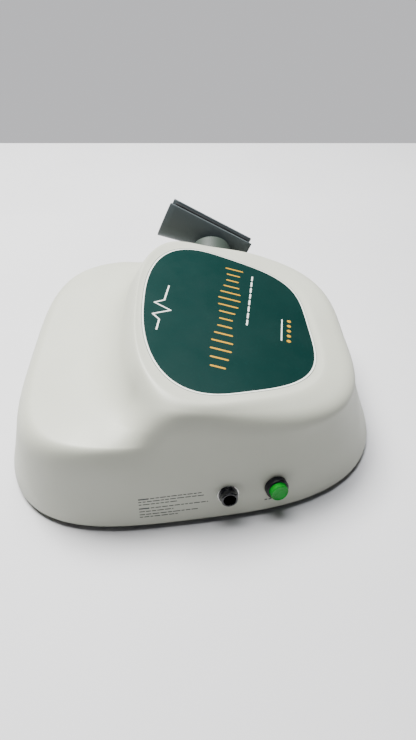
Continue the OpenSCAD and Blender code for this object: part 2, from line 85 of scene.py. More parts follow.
class Nodes:
    """A small helper that adds nodes to one material and links them."""

    def __init__(self, name):
        self.mat = bpy.data.materials.new(name)
        self.mat.use_nodes = True
        self.tree = self.mat.node_tree
        self.tree.nodes.clear()
        self.out = self.add("ShaderNodeOutputMaterial")
        self.shader = self.add("ShaderNodeBsdfPrincipled")
        self.link(self.shader.outputs[0], self.out.inputs["Surface"])
        self.where = self.add("ShaderNodeTexCoord").outputs["Object"]

    def add(self, kind, **props):
        node = self.tree.nodes.new(kind)
        for key, value in props.items():
            setattr(node, key, value)
        return node

    def link(self, a, b):
        self.tree.links.new(a, b)

    def set(self, **values):
        """Sets sockets of the shader, with _ for each space in their names."""
        for key, value in values.items():
            self.shader.inputs[key.replace("_", " ")].default_value = value

    def noise(self, scale, detail=3.0, rough=0.5, where=None):
        node = self.add("ShaderNodeTexNoise")
        node.inputs["Scale"].default_value = scale
        node.inputs["Detail"].default_value = detail
        node.inputs["Roughness"].default_value = rough
        self.link(where or self.where, node.inputs["Vector"])
        return node.outputs["Fac"]

    def ramp(self, value, low, high, a, b):
        """Colours from a to b as value goes from low to high."""
        node = self.add("ShaderNodeValToRGB")
        node.color_ramp.elements[0].position = low
        node.color_ramp.elements[0].color = a
        node.color_ramp.elements[1].position = high
        node.color_ramp.elements[1].color = b
        self.link(value, node.inputs["Fac"])
        return node.outputs["Color"]

    def spread(self, value, low, high, a, b):
        """Numbers from a to b as value goes from low to high."""
        node = self.add("ShaderNodeMapRange")
        for key, number in (("From Min", low), ("From Max", high), ("To Min", a), ("To Max", b)):
            node.inputs[key].default_value = number
        self.link(value, node.inputs["Value"])
        return node.outputs["Result"]

    def mix(self, factor, a, b):
        node = self.add("ShaderNodeMix", data_type="RGBA")
        for socket, value in ((node.inputs["Factor"], factor), (node.inputs[6], a), (node.inputs[7], b)):
            if isinstance(value, (tuple, float, int)):
                socket.default_value = value
            else:
                self.link(value, socket)
        return node.outputs[2]

    def bump(self, height, strength, distance, under=None):
        node = self.add("ShaderNodeBump")
        node.inputs["Strength"].default_value = strength
        node.inputs["Distance"].default_value = distance
        self.link(height, node.inputs["Height"])
        if under is not None:
            self.link(under, node.inputs["Normal"])
        return node.outputs["Normal"]

    def finish(self, color=None, rough=None, normal=None):
        """Links what is given to the shader, and gives back the material."""
        for key, value in (("Base Color", color), ("Roughness", rough), ("Normal", normal)):
            if value is not None:
                self.link(value, self.shader.inputs[key])
        return self.mat


def dim(color, k):
    """A colour times k."""
    return tuple(c * k for c in color[:3]) + (1.0,)


def moulded(name, color, rough, grain=900, grain_depth=0.00004, vary=0.06, coat=0.0, spec=0.5):
    """Moulded plastic: fine grain, soft blotches of colour and of gloss, a little grime."""
    n = Nodes(name)
    blotch = n.noise(14, 4)
    tone = n.ramp(blotch, 0.3, 0.7, dim(color, 1 - vary), dim(color, 1 + vary * 0.5))
    speck = n.noise(420, 2)
    tone = n.mix(n.spread(speck, 0.66, 0.8, 0.0, 0.22), tone, dim(color, 0.72))
    gloss = n.spread(n.noise(38, 5, 0.6), 0.3, 0.7, rough - 0.06, rough + 0.07)
    skin = n.bump(n.noise(grain, 2), 0.35, grain_depth)
    wave = n.bump(n.noise(9, 1), 0.12, 0.0006, skin)
    n.set(Coat_Weight=coat, Coat_Roughness=0.12, Specular_IOR_Level=spec)
    return n.finish(tone, gloss, wave)


def metal(name, color, rough, brushed=0.0):
    """Plated or bare metal with fine scratches and dull patches."""
    n = Nodes(name)
    patch = n.noise(60, 4, 0.6)
    tone = n.ramp(patch, 0.3, 0.75, dim(color, 0.8), color)
    gloss = n.spread(n.noise(220, 5, 0.7), 0.3, 0.7, rough * 0.7, rough * 1.5)
    stretch = n.add("ShaderNodeMapping")
    stretch.inputs["Scale"].default_value = (1, 1, 30)
    n.link(n.where, stretch.inputs["Vector"])
    line = n.bump(n.noise(300, 2, where=stretch.outputs[0]), 0.15 + brushed, 0.00003)
    n.set(Metallic=1.0)
    return n.finish(tone, gloss, line)


def soft_black(name, color, rough):
    """Rubber or painted black with dust in its pores."""
    n = Nodes(name)
    dust = n.noise(55, 5, 0.65)
    tone = n.ramp(dust, 0.35, 0.8, color, tuple(c + 0.02 for c in color[:3]) + (1.0,))
    gloss = n.spread(n.noise(300, 3), 0.3, 0.7, rough - 0.08, rough + 0.08)
    return n.finish(tone, gloss, n.bump(n.noise(1500, 2), 0.4, 0.00005))


def lens_material():
    """Green cap that glows a little from the lamp behind it."""
    n = Nodes("green_lens")
    deep = srgb(0, 112, 26)
    lit = srgb(1, 146, 40)
    tone = n.ramp(n.noise(90, 3), 0.3, 0.7, deep, lit)
    n.link(tone, n.shader.inputs["Emission Color"])
    n.set(Emission_Strength=0.22, Transmission_Weight=0.05, IOR=1.49, Specular_IOR_Level=0.15)
    gloss = n.spread(n.noise(160, 4), 0.3, 0.7, 0.2, 0.36)
    return n.finish(tone, gloss, n.bump(n.noise(700, 2), 0.12, 0.00004))


def film_material():
    """Printed film: dark green, a little lighter towards the rear and in a fine print screen."""
    n = Nodes("label_film")
    split = n.add("ShaderNodeSeparateXYZ")
    n.link(n.where, split.inputs[0])
    fade = n.spread(split.outputs["Y"], -0.12, 0.05, 0.0, 1.0)
    tone = n.mix(fade, srgb(3, 34, 31), srgb(5, 40, 37))
    tone = n.mix(n.spread(n.noise(500, 2), 0.55, 0.8, 0.0, 0.2), tone, srgb(14, 56, 52))
    tone = n.mix(n.spread(n.noise(8, 5, 0.65), 0.5, 0.85, 0.0, 0.25), tone, srgb(16, 52, 49))
    gloss = n.spread(n.noise(26, 5, 0.65), 0.3, 0.7, 0.4, 0.56)
    n.set(Specular_IOR_Level=0.12)
    return n.finish(tone, gloss, n.bump(n.noise(1200, 2), 0.2, 0.00002))


def ink(name, color):
    """Screen-printed ink, thinner in places."""
    n = Nodes(name)
    tone = n.ramp(n.noise(260, 3), 0.25, 0.7, dim(color, 0.82), color)
    gloss = n.spread(n.noise(90, 4), 0.3, 0.7, 0.38, 0.52)
    return n.finish(tone, gloss, n.bump(n.noise(1800, 2), 0.2, 0.00001))


def board_material():
    """Solder mask with copper traces under it."""
    n = Nodes("board_green")
    cells = n.add("ShaderNodeTexBrick")
    cells.inputs["Scale"].default_value = 160
    cells.inputs["Mortar Size"].default_value = 0.06
    cells.inputs["Color1"].default_value = srgb(14, 78, 46)
    cells.inputs["Color2"].default_value = srgb(18, 92, 54)
    cells.inputs["Mortar"].default_value = srgb(50, 128, 70)
    n.link(n.where, cells.inputs["Vector"])
    gloss = n.spread(n.noise(80, 3), 0.3, 0.7, 0.25, 0.45)
    return n.finish(cells.outputs["Color"], gloss, n.bump(cells.outputs["Fac"], 0.3, 0.00004))


def fuse_glass_material():
    """Clear glass with a faint haze."""
    n = Nodes("fuse_glass")
    gloss = n.spread(n.noise(120, 3), 0.3, 0.7, 0.02, 0.1)
    tone = n.ramp(n.noise(50, 2), 0.3, 0.7, srgb(225, 235, 235), srgb(240, 246, 246))
    n.set(Transmission_Weight=0.9, IOR=1.5)
    return n.finish(tone, gloss)


def wound_material():
    """Tape wound round a coil, one turn over the next."""
    n = Nodes("coil_wrap")
    wave = n.add("ShaderNodeTexWave", bands_direction="Z")
    wave.inputs["Scale"].default_value = 120
    wave.inputs["Distortion"].default_value = 0.6
    n.link(n.where, wave.inputs["Vector"])
    tone = n.mix(wave.outputs["Fac"], srgb(160, 112, 38), srgb(206, 160, 70))
    gloss = n.spread(n.noise(60, 3), 0.3, 0.7, 0.25, 0.45)
    return n.finish(tone, gloss, n.bump(wave.outputs["Fac"], 0.4, 0.0002))


def layered_material():
    """Varnished steel laminations, stacked along Y."""
    n = Nodes("core_steel")
    wave = n.add("ShaderNodeTexWave", bands_direction="Y")
    wave.inputs["Scale"].default_value = 300
    wave.inputs["Distortion"].default_value = 0.3
    n.link(n.where, wave.inputs["Vector"])
    tone = n.mix(wave.outputs["Fac"], srgb(62, 62, 66), srgb(104, 104, 108))
    n.set(Metallic=0.6)
    gloss = n.spread(n.noise(70, 4), 0.3, 0.7, 0.35, 0.6)
    return n.finish(tone, gloss, n.bump(wave.outputs["Fac"], 0.4, 0.0001))


WARM_WHITE = srgb(188, 190, 176)
M = {
    "housing_plastic": moulded("housing_plastic", WARM_WHITE, 0.46, 1100, 0.00003, 0.025),
    "label_film": film_material(),
    "label_border": ink("label_border", srgb(232, 236, 228)),
    "label_gold": ink("label_gold", srgb(190, 142, 6)),
    "label_white": ink("label_white", srgb(222, 226, 220)),
    "wall_print": ink("wall_print", srgb(62, 64, 62)),
    "base_black": soft_black("base_black", srgb(24, 24, 26), 0.55),
    "zinc_steel": metal("zinc_steel", srgb(196, 196, 190), 0.34),
    "foot_rubber": soft_black("foot_rubber", srgb(26, 26, 27), 0.75),
    "black_plastic": moulded("black_plastic", srgb(16, 18, 24), 0.4, 1300, 0.00004, 0.12, spec=0.35),
    "socket_black": moulded("socket_black", srgb(10, 11, 18), 0.26, 1600, 0.00002, 0.12, coat=0.15),
    "green_lens": lens_material(),
    "white_nylon": moulded("white_nylon", srgb(232, 230, 220), 0.5),
    "spring_steel": metal("spring_steel", srgb(170, 170, 172), 0.28),
    "switch_tan": moulded("switch_tan", srgb(190, 178, 150), 0.6),
    "contact_brass": metal("contact_brass", srgb(206, 164, 84), 0.25),
    "nickel_plate": metal("nickel_plate", srgb(176, 176, 172), 0.22),
    "cradle_grey": moulded("cradle_grey", srgb(73, 81, 84), 0.5, 1200, 0.00004, 0.05, spec=0.3),
    # Painted shade: the hub is made of the housing's white plastic, and this darker grey stands in for
    # the shade it lies in.
    "hub_painted_shade": moulded("hub_painted_shade", srgb(56, 65, 59), 0.5, 1200, 0.00004, 0.04, spec=0.3),
    "liner_black": soft_black("liner_black", srgb(12, 17, 19), 0.7),
    "fuse_glass": fuse_glass_material(),
    "core_steel": layered_material(),
    "coil_wrap": wound_material(),
    "board_green": board_material(),
    "heat_sink_alu": metal("heat_sink_alu", srgb(96, 96, 98), 0.4, 0.2),
    "can_blue": moulded("can_blue", srgb(34, 48, 96), 0.35),
    "lead_brown": moulded("lead_brown", srgb(104, 62, 36), 0.45),
    "lead_red": moulded("lead_red", srgb(160, 34, 30), 0.45),
    "lead_blue": moulded("lead_blue", srgb(36, 56, 128), 0.45),
    "lead_black": moulded("lead_black", srgb(34, 34, 36), 0.5),
}

for part in frame["record"]["subparts"]:
    mesh = frame["nodes"][part["node"]].data
    mesh.materials.clear()
    mesh.materials.append(M[part["material_slot"]])

# ---------------------------------------------------------------- mesh helpers


def add_mesh(name, points, faces, material, place=None):
    """A mesh object from points in mm about the housing's middle plane, or about place's frame."""
    matrix = Matrix.Translation(-BOX_MID) @ (place or Matrix.Identity(4))
    verts = [matrix @ Vector(p) * MM for p in points]
    mesh = bpy.data.meshes.new(name)
    mesh.from_pydata([tuple(v) for v in verts], [], faces)
    mesh.validate()
    mesh.update()
    obj = bpy.data.objects.new(name, mesh)
    bpy.context.scene.collection.objects.link(obj)
    mesh.materials.append(M[material])
    fix_normals(obj)
    return obj


def fix_normals(obj):
    """Turns every face outwards."""
    bm = bmesh.new()
    bm.from_mesh(obj.data)
    bmesh.ops.recalc_face_normals(bm, faces=bm.faces)
    bm.to_mesh(obj.data)
    bm.free()


def smooth(obj, angle=35):
    """Smooth shading that keeps edges sharper than angle."""
    obj.data.shade_smooth()
    obj.data.set_sharp_from_angle(angle=math.radians(angle))
    return obj


def apply_modifiers(obj):
    """Replaces the object's mesh by its modifiers' result."""
    graph = bpy.context.evaluated_depsgraph_get()
    mesh = bpy.data.meshes.new_from_object(obj.evaluated_get(graph))
    obj.modifiers.clear()
    old = obj.data
    obj.data = mesh
    bpy.data.meshes.remove(old)
    return obj


def bevel(obj, width, segments=3, angle=30):
    """Rounds the edges that turn by more than angle. width is in mm."""
    mod = obj.modifiers.new("bevel", "BEVEL")
    mod.width = width * MM
    mod.segments = segments
    mod.limit_method = "ANGLE"
    mod.angle_limit = math.radians(angle)
    mod.harden_normals = False
    return apply_modifiers(obj)


def combine(obj, operation, others):
    """Joins the others to obj or takes them out of it, and removes them."""
    for other in others:
        mod = obj.modifiers.new("combine", "BOOLEAN")
        mod.operation = operation
        mod.solver = "EXACT"
        mod.object = other
        apply_modifiers(obj)
        bpy.data.objects.remove(other)
    return obj


def cut(obj, *cutters):
    return combine(obj, "DIFFERENCE", cutters)


def weld(obj, *others):
    return combine(obj, "UNION", others)


def grid_faces(rows, cols, closed_rows=False):
    """Quads of a grid that closes on itself across its columns, and along its rows if asked."""
    faces = []
    for r in range(rows if closed_rows else rows - 1):
        for c in range(cols):
            a, b = r * cols + c, r * cols + (c + 1) % cols
            up = ((r + 1) % rows) * cols
            faces.append((a, b, up + (c + 1) % cols, up + c))
    return faces


def fillet(points, radius, steps=5):
    """A closed outline with its corners rounded. radius is one number or one for each corner."""
    out = []
    n = len(points)
    for i, p in enumerate(points):
        p = Vector(p)
        a = Vector(points[i - 1]) - p
        b = Vector(points[(i + 1) % n]) - p
        r = radius[i] if hasattr(radius, "__len__") else radius
        reach = min(r, a.length * 0.49, b.length * 0.49)
        if reach < 1e-4:
            out.append(tuple(p))
            continue
        start, end = p + a.normalized() * reach, p + b.normalized() * reach
        for k in range(steps + 1):
            u = k / steps
            out.append(tuple(start * (1 - u) ** 2 + p * 2 * u * (1 - u) + end * u ** 2))
    return out


def lathe(name, outline, material, place, radius=0.0, cols=96):
    """A closed outline of (radius, height) points turned about the place's Z axis."""
    loop = fillet([(r, z) for r, z in outline], radius)
    points = []
    for r, z in loop:
        for c in range(cols):
            a = 2 * math.pi * c / cols
            points.append((max(r, 0.001) * math.cos(a), max(r, 0.001) * math.sin(a), z))
    obj = add_mesh(name, points, grid_faces(len(loop), cols, True), material, place)
    bm = bmesh.new()
    bm.from_mesh(obj.data)
    bmesh.ops.remove_doubles(bm, verts=bm.verts, dist=0.00001)
    bmesh.ops.dissolve_degenerate(bm, edges=bm.edges, dist=0.000001)
    bm.to_mesh(obj.data)
    bm.free()
    fix_normals(obj)
    return smooth(obj)


def block(name, low, high, material, place=None, round_by=0.4, segments=2):
    """A box with rounded edges."""
    x, y, z = zip(low, high)
    points = [(x[i], y[j], z[k]) for k in (0, 1) for j in (0, 1) for i in (0, 1)]
    faces = [(0, 2, 3, 1), (4, 5, 7, 6), (0, 1, 5, 4), (2, 6, 7, 3), (0, 4, 6, 2), (1, 3, 7, 5)]
    obj = add_mesh(name, points, faces, material, place)
    if round_by:
        bevel(obj, round_by, segments)
    return smooth(obj)


def post(radius, low, high, place, cols=64):
    """A plain round cutter along the place's Z axis."""
    ring = [(radius * math.cos(2 * math.pi * c / cols), radius * math.sin(2 * math.pi * c / cols))
            for c in range(cols)]
    points = [(x, y, low) for x, y in ring] + [(x, y, high) for x, y in ring]
    faces = grid_faces(2, cols) + [tuple(reversed(range(cols))), tuple(range(cols, 2 * cols))]
    return add_mesh("cutter", points, faces, "housing_plastic", place)


def prism(name, outline, low, high, material, place):
    """An outline in the place's XY plane, drawn out along its Z axis."""
    n = len(outline)
    points = [(x, y, low) for x, y in outline] + [(x, y, high) for x, y in outline]
    faces = grid_faces(2, n) + [tuple(reversed(range(n))), tuple(range(n, 2 * n))]
    return add_mesh(name, points, faces, material, place)


def own(obj, body, slot, *nodes):
    """Says what body a piece rides on and what it stands for. The slot is not used."""
    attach(obj, body)
    if nodes:
        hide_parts(*nodes)
    return obj


# ---------------------------------------------------------------- the housing's surface

# The same surface as the CAD's, drawn finer. All lengths are in mm.
# Outlines as half width, taper, middle y, half depth, front exponent, rear exponent
FOOT = (153, 0.112, -1, 173.5, 3.1, 3.25)
EDGE = (139.5, 0.10, -1, 151.5, 3.05, 3.9)
SHOULDER = (133, 0.12, -14, 137, 3.4, 3.2)
FLANK = (121, 0.16, -34, 106, 3.6, 2.8)
CREST = (118, 0.235, -36.5, 86.5, 3.8, 2.8)
LABEL = (107.8, 0.248, -35.4, 78.5, 4.0, 2.34)
# The label's middle, its plane's tilt in degrees and the flat border outside it
LABEL_Z, LABEL_Y, LABEL_TILT = 107.0, LABEL[2], 12.0
LABEL_BORDER = 2.5
# Heights of the housing's bottom, of its turn to the top and of the rear shelf, and its wall
BASE_Z, EDGE_Z, SHELF_Z, WALL = 5.0, 65.0, 83.0, 3.0
# Rounding of the bottom edge
FOOT_ROUND = 1.2


def signed_pow(v, e):
    """A power that keeps the sign of v."""
    return math.copysign(abs(v) ** e, v)


def ring_at(ring, a, inset=0.0):
    """A point of a tapered superellipse at angle a."""
    w, taper, mid, d, front, rear = ring
    e = 2 / (front if math.sin(a) < 0 else rear)
    v = signed_pow(math.sin(a), e)
    return (w - inset) * (1 + taper * v) * signed_pow(math.cos(a), e), mid + (d - inset) * v


def bearing(x, y):
    """Bearing of a point from the label's middle."""
    return math.atan2(y - LABEL_Y, x)


def ring_along(ring, b, inset):
    """The point at which a ring crosses bearing b from the label's middle."""
    low, high = b - 0.9, b + 0.9
    for _ in range(34):
        mid = (low + high) / 2
        off = bearing(*ring_at(ring, mid, inset)) - b
        if math.remainder(off, 2 * math.pi) > 0:
            high = mid
        else:
            low = mid
    return ring_at(ring, mid, inset)


def even_angles(ring, count):
    """Angles at which the ring's points are evenly spaced."""
    fine = np.linspace(0, 2 * math.pi, 8001)
    pts = np.array([ring_at(ring, a) for a in fine])
    run = np.concatenate([[0], np.cumsum(np.hypot(*np.diff(pts, axis=0).T))])
    return np.interp(np.arange(count) / count * run[-1], run, fine)


def plane_z(y):
    """Height of the label's plane at y."""
    return LABEL_Z + (y - LABEL_Y) * math.tan(math.radians(LABEL_TILT))


def ease(low, high, v):
    """0 at low, 1 at high, smooth between."""
    u = min(1.0, max(0.0, (v - low) / (high - low)))
    return u * u * (3 - 2 * u)


def rounded(a, b, c, cut_in, cut_out, steps, first=0):
    """A corner b between a and c as a quadratic curve, without its first points."""
    s, e = b + (a - b) * cut_in, b + (c - b) * cut_out
    us = [i / steps for i in range(first, steps + 1)]
    return [s * (1 - u) ** 2 + b * 2 * u * (1 - u) + e * u * u for u in us]


def meridian(a, t, steps):
    """The housing's profile from its bottom edge at angle a to near the top, set in by t.

    The head falls to a shelf at the rear, and its shoulder is high on the holder's side.
    """
    top = Vector((0, LABEL_Y, LABEL_Z - t))
    foot = Vector((*ring_at(FOOT, a, t), BASE_Z - (1 if t else 0)))
    b = bearing(foot.x, foot.y)
    rear = ease(0.31, 0.64, math.sin(b))
    x, y = ring_along(EDGE, b, t)
    edge = Vector((x, y, EDGE_Z + 2 * math.sin(b) + rear * (12 + 5 * abs(x / 140) ** 3) - t))
    high = ease(0, 1, math.cos(b)) * (1 - ease(-0.3, 0.4, math.sin(b)))
    x, y = (v * (1 + 0.035 * high) for v in ring_along(SHOULDER, b, t))
    shoulder = Vector((x, y, plane_z(y) - 3 - 6 * math.cos(b) ** 2 + 11 * high - t))
    x, y = ring_along(FLANK, b, t)
    flank = Vector((x, y, SHELF_Z + 8 * (x / 120) ** 2 - t))
    bend = shoulder.lerp(flank, rear)
    x, y = ring_along(CREST, b, t)
    crest = Vector((x, y, plane_z(y) + 1 - t))
    x, y = ring_along(LABEL, b, t - LABEL_BORDER)
    rim = Vector((x, y, plane_z(y) - t))
    inner = rim.lerp(top, 0.65)
    cut_in = 0.55 - 0.25 * rear
    wall_top = edge + (foot - edge) * cut_in
    if t:
        start = [foot]
    else:
        start = []
        for k in range(5):
            turn = math.pi / 2 * k / 4
            x, y = ring_at(FOOT, a, FOOT_ROUND * (1 - math.sin(turn)))
            start.append(Vector((x, y, BASE_Z + FOOT_ROUND * (1 - math.cos(turn)))))
    start += [foot.lerp(wall_top, k / 4) for k in range(1, 4)]
    return (start + rounded(foot, edge, bend, cut_in, 0.5 - 0.35 * rear, steps)
            + rounded(edge, bend, crest, 0.5 - 0.1 * rear, 0.5 - 0.05 * rear, steps, 1)
            + rounded(bend, crest, rim, 0.46, 0.42, steps)
            + rounded(crest, rim, inner, 0.4, 0.03, 3) + [inner])


def skin(t, columns, steps):
    """The housing's outer or inner surface as one closed solid."""
    walls = [meridian(a, t, steps) for a in even_angles(FOOT, columns)]
    rows = len(walls[0])
    points = [wall[r] for r in range(rows) for wall in walls] + [Vector((0, LABEL_Y, LABEL_Z - t))]
    last, apex = (rows - 1) * columns, rows * columns
    faces = grid_faces(rows, columns) + [tuple(reversed(range(columns)))]
    faces += [(last + c, last + (c + 1) % columns, apex) for c in range(columns)]
    return add_mesh("housing", points, faces, "housing_plastic")


def frame_on(x, y, z, lean, turn=0.0):
    """A frame whose Z axis leans up by lean degrees out of the -X wall, turned to the front."""
    return (Matrix.Translation((x, y, z)) @ Matrix.Rotation(math.radians(turn), 4, "Z")
            @ Matrix.Rotation(math.radians(lean - 90), 4, "Y"))


WALL_LEAN, HUB_LEAN = 12.7, 14
BUTTON = frame_on(-138.4, -68, 28, WALL_LEAN, 13)
SOCKET = frame_on(-145.1, -27.5, 28, WALL_LEAN, 7)
HUB = Matrix.Translation((133.5, -26, 82.2)) @ Matrix.Rotation(math.radians(90 - HUB_LEAN), 4, "Y")
# The middle of the inlet's flange seat
INLET = Matrix.Translation((60, 151, 31))
LABEL_PLANE = (Matrix.Translation((0, LABEL_Y, LABEL_Z))
               @ Matrix.Rotation(math.radians(LABEL_TILT), 4, "X"))
CRADLE = (Matrix.Translation((181, -29.6, 112)) @ Matrix.Rotation(math.radians(-13.7), 4, "Z")
          @ Matrix.Rotation(math.radians(24), 4, "X") @ Matrix.Rotation(math.radians(18.5), 4, "Y"))
# Screw bosses in the housing
BOSSES = [(-108, 92), (108, 92), (-100, -96), (100, -96)]


def upright(x, y, z=0):
    """A frame with vertical Z at a place."""
    return Matrix.Translation((x, y, z))


def label_outline(inset, count=240):
    """The label's outline in its own plane."""
    out = []
    for a in even_angles(LABEL, count):
        x, y = ring_at(LABEL, a, inset)
        out.append((x, (y - LABEL_Y) / math.cos(math.radians(LABEL_TILT))))
    return out


# ---------------------------------------------------------------- the housing

# Radii of the round holes in the walls, and of the shallow seats round two of them
BUTTON_HOLE, SOCKET_HOLE, BOLT_HOLE = 8.1, 7.1, 4.2
BEZEL_SEAT, SOCKET_SEAT, SEAT_DEPTH = 10.2, 8.9, 0.5
BOSS_R, BOSS_HOLE = 5, 1.7
# Half widths and half heights of the inlet's pocket and of the hole in its floor
POCKET_X, POCKET_Z = 27, 18
INLET_X, INLET_Z = 22.2, 10.7


def build_housing():
    """The shell, cut hollow, with its holes. Gives back the uncut surface for the wall's prints."""
    shell, space = skin(0, 256, 11), skin(WALL, 120, 5)
    wall_tree = BVHTree.FromObject(shell, bpy.context.evaluated_depsgraph_get())
    for x, y in BOSSES:
        cut(space, post(BOSS_R, 0, 130, upright(x, y, BASE_Z)))
    cut(space, block("cutter", (-POCKET_X - 4, -WALL, -POCKET_Z - 4), (POCKET_X + 4, 47, POCKET_Z + 4),
                     "housing_plastic", INLET, 3))
    cut(shell, space)
    for x, y in BOSSES:
        cut(shell, post(BOSS_HOLE, -1, 21, upright(x, y, BASE_Z)))
    cut(shell,
        block("cutter", (-POCKET_X, 0, -POCKET_Z), (POCKET_X, 60, POCKET_Z), "housing_plastic", INLET, 2),
        block("cutter", (-INLET_X, -10, -INLET_Z), (INLET_X, 10, INLET_Z), "housing_plastic", INLET, 0),
        prism("cutter", label_outline(-0.3), -0.5, 4, "housing_plastic", LABEL_PLANE),
        post(BUTTON_HOLE, -20, 10, BUTTON), post(BEZEL_SEAT, -SEAT_DEPTH, 10, BUTTON),
        post(SOCKET_HOLE, -20, 10, SOCKET), post(SOCKET_SEAT, -SEAT_DEPTH, 10, SOCKET),
        post(BOLT_HOLE, -20, 20, HUB))
    smooth(shell, 32)
    own(shell, "base", "housing_plastic", "upper_housing")
    return wall_tree


wall_tree = build_housing()


WELL_OUTSIDE = -300


def on_wall(y, z):
    """The point and the outward direction of the control wall at a place along it (mm)."""
    start = (Vector((WELL_OUTSIDE, y, z)) - BOX_MID) * MM
    spot, normal, _, _ = wall_tree.ray_cast(start, Vector((1, 0, 0)))
    return spot / MM + BOX_MID, normal


def wall_patch(name, y0, y1, z0, z1, material, proud=0.08, step=3.0):
    """A thin printed patch that follows the control wall."""
    count = max(2, int(abs(y1 - y0) / step) + 2)
    points = []
    for i in range(count):
        y = y0 + (y1 - y0) * i / (count - 1)
        for z in (z0, z1):
            spot, out = on_wall(y, z)
            points += [spot - out * 0.1, spot + out * proud]
    faces = [(0, 1, 3, 2)]
    for i in range(count - 1):
        a, b = 4 * i, 4 * i + 4
        faces += [(a, b, b + 1, a + 1), (a + 1, b + 1, b + 3, a + 3),
                  (a + 3, b + 3, b + 2, a + 2), (a + 2, b + 2, b, a)]
    e = 4 * (count - 1)
    faces.append((e, e + 2, e + 3, e + 1))
    return add_mesh(name, points, faces, material)


def join(name, pieces):
    """One object from several that don't touch."""
    bm = bmesh.new()
    for piece in pieces:
        bm.from_mesh(piece.data)
    mesh = pieces[0].data.copy()
    bm.to_mesh(mesh)
    bm.free()
    obj = bpy.data.objects.new(name, mesh)
    bpy.context.scene.collection.objects.link(obj)
    for piece in pieces:
        bpy.data.objects.remove(piece)
    return obj


# Heights and far ends of the lines of the notice on the control wall (mm)
NOTICE = [(33.4, -5.5), (30.6, -7.4), (27.7, 14.4),
          (23.5, -10.7), (20.3, 18.0), (17.1, -2.7), (14.4, 14.6)]
NOTICE_START = 46.0
# Half height, shortest and longest of its dashes, and the gap between them
DASH_Z, DASH_LOW, DASH_HIGH, DASH_GAP = 0.4, 2.2, 6.2, 0.9
# Rows that start with a bolder dash, its half height, length and gap
BOLD_ROWS, BOLD_Z, BOLD_LONG, BOLD_GAP = (0, 3), 0.6, 8.5, 1.1


def build_notice():
    """Plain dashes where the wall carries a printed notice: no letters."""
    pick = random.Random(7)
    bars = []
    for row, (z, end) in enumerate(NOTICE):
        y = NOTICE_START
        if row in BOLD_ROWS:
            bars.append(wall_patch("notice", y, y - BOLD_LONG, z - BOLD_Z, z + BOLD_Z, "wall_print"))
            y -= BOLD_LONG + BOLD_GAP
        while y > end + 1.0:
            long = min(pick.uniform(DASH_LOW, DASH_HIGH), y - end)
            bars.append(wall_patch("notice", y, y - long, z - DASH_Z, z + DASH_Z, "wall_print"))
            y -= long + DASH_GAP
    own(join("wall_notice", bars), "base", "housing_plastic")


def build_power_mark():
    """Two short plain bars under the button."""
    bars = [wall_patch("mark", -58.8, -61.2, 15.5, 16.7, "wall_print"),
            wall_patch("mark", -62.2, -64.8, 15.3, 16.5, "wall_print")]
    own(join("power_mark", bars), "base", "housing_plastic")


build_notice()
build_power_mark()

# ---------------------------------------------------------------- label


def disc(cx, cy, r, count=24):
    return [(cx + r * math.cos(2 * math.pi * k / count), cy + r * math.sin(2 * math.pi * k / count))
            for k in range(count)]


def bar(x0, y0, x1, y1, width, count=8):
    """The outline of a bar with round ends."""
    a, b = Vector((x0, y0)), Vector((x1, y1))
    along = math.atan2(b.y - a.y, b.x - a.x)
    out = []
    for spot, start in ((b, along - math.pi / 2), (a, along + math.pi / 2)):
        for k in range(count + 1):
            turn = start + math.pi * k / count
            out.append((spot.x + width / 2 * math.cos(turn), spot.y + width / 2 * math.sin(turn)))
    return out


# Bottom and top of the printing, measured from the label's plane
PRINT_LOW, PRINT_HIGH = -0.14, -0.04


def printed(name, outlines, material):
    """Several printed outlines as one piece."""
    shapes = [prism(name, o, PRINT_LOW, PRINT_HIGH, material, LABEL_PLANE) for o in outlines]
    return own(join(name, shapes), "base", "label_film")


def build_label():
    """The film in its recess, and a pale line round its edge."""
    film_low, film_high, line_high = -0.48, -0.1, -0.07
    film = prism("label", label_outline(0), film_low, film_high, "label_film", LABEL_PLANE)
    bevel(film, 0.06, 2)
    own(film, "base", "label_film", "overlay_label")
    line = prism("label_line", label_outline(0.25), PRINT_LOW, line_high, "label_border", LABEL_PLANE)
    cut(line, prism("cutter", label_outline(1.7), -1, 1, "label_border", LABEL_PLANE))
    own(line, "base", "label_film")


# The print's lines run askew to the label's X axis by this angle
SLANT = math.radians(-9.5)


def slanted(x, y, u, v):
    """A point at u along and v across a line through (x, y) that has the print's slant."""
    return x + u * math.cos(SLANT) - v * math.sin(SLANT), y + u * math.sin(SLANT) + v * math.cos(SLANT)


def build_motif():
    """A plain pulse-and-bars pattern in the places of the printed marks: no letters or badge."""
    bars, count, pitch = [], 15, 11.6
    for k in range(count):
        u = pitch * k
        swell = 0.5 + 0.5 * math.sin(0.97 * k - 0.9)
        tall = 11 + 11 * swell * (0.55 + 0.45 * k / (count - 1))
        bars.append(bar(*slanted(-78, 14, u, -tall / 2), *slanted(-78, 14, u, tall / 2), 2.0))
    printed("label_bars", bars, "label_gold")
    dashes = [bar(*slanted(-13, -17, u, 0), *slanted(-13, -17, u + 7.5, 0), 1.7)
              for u in np.arange(0, 88, 11.5)]
    printed("label_dashes", dashes, "label_white")
    dots = [disc(*slanted(-29, -55, u, 0), 2.0) for u in range(0, 33, 8)]
    printed("label_dots", dots, "label_gold")
    printed("label_rule", [bar(*slanted(-29, -48, 0, 0), *slanted(-29, -48, 33, 0), 1.3)], "label_white")
    wave = [(-39, 66), (-24, 64), (-17, 70), (-8, 54), (1, 69), (7, 60), (20, 58), (32, 56)]
    lines = [bar(*a, *b, 1.5) for a, b in zip(wave, wave[1:])]
    # Each stretch lies a hair above the one before, so that they don't share a face
    shapes = [prism("label_wave", o, PRINT_LOW, PRINT_HIGH + 0.004 * k, "label_white", LABEL_PLANE)
              for k, o in enumerate(lines)]
    own(weld(*shapes), "base", "label_film")


